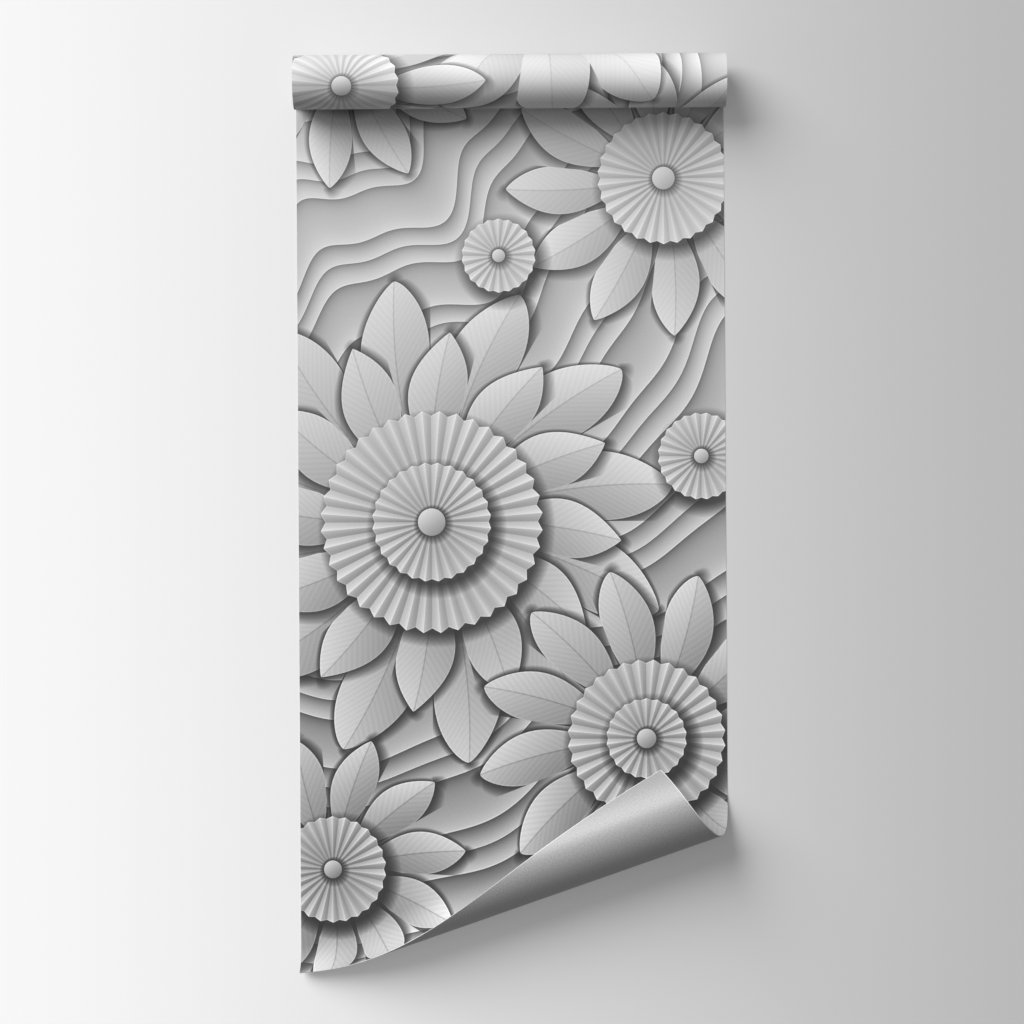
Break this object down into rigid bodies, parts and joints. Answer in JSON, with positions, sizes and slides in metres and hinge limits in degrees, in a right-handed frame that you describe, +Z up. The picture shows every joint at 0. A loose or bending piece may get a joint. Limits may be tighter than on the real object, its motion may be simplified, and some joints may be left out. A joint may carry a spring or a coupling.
{
  "type": "wallpaper roll",
  "caption": "Strip of printed wallpaper, partly unrolled and lying print side up, with a loose roll at its far end and one near corner curled up and over.",
  "frame": {"origin": "middle of the footprint, on the floor", "axes": "+Z up, +Y along the strip towards the roll, +X across the strip towards the edge with the curled corner"},
  "size_m": [0.5314, 1.1312, 0.0926],
  "materials": {
    "printed_paper": "matt print in greys on one side, plain light grey on the other"
  },
  "bodies": {
    "root": {"wallpaper_strip": "printed_paper"}
  },
  "joints": []
}
